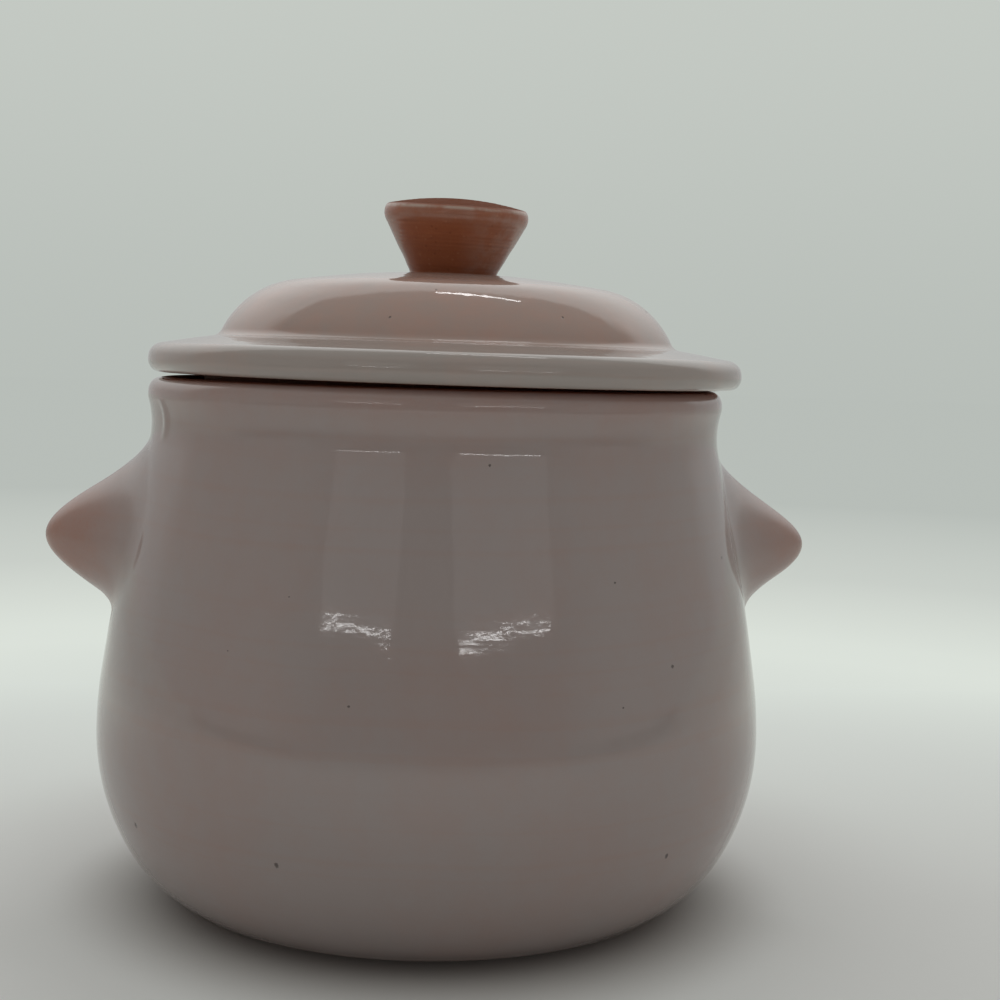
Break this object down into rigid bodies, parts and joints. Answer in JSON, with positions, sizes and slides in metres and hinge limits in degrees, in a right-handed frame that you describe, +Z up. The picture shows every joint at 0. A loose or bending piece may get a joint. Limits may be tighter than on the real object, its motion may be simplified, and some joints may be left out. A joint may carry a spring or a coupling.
{
  "type": "clay dutch oven",
  "caption": "Round-bellied glazed clay dutch oven with cone lugs on its sides and a lift-off domed lid with a bare clay knob.",
  "frame": {"origin": "on the floor under the middle of the flat foot, at the bottom centre of the whole part's box", "axes": "+X through the two lugs towards the right lug, +Y away from the pictured side, +Z up along the pot's axis"},
  "size_m": [0.1898, 0.1644, 0.1734],
  "materials": {
    "clay": "bare fired red clay",
    "knob_clay": "bare fired red clay, rubbed smooth",
    "outer_glaze": "glossy pale mauve grey glaze",
    "inner_glaze": "glossy pale glaze"
  },
  "bodies": {
    "pot": {"pot_body": "clay", "left_lug": "clay", "right_lug": "clay", "pot_outer_glaze": "outer_glaze", "pot_inner_glaze": "inner_glaze"},
    "lid": {"lid_body": "clay", "lid_knob": "knob_clay", "lid_top_glaze": "outer_glaze", "lid_inner_glaze": "inner_glaze"}
  },
  "joints": [
    {"name": "lid_lift", "type": "slide", "parent": "pot", "child": "lid", "axis": [0, 0, 1], "range_m": [0, 0.12]}
  ]
}
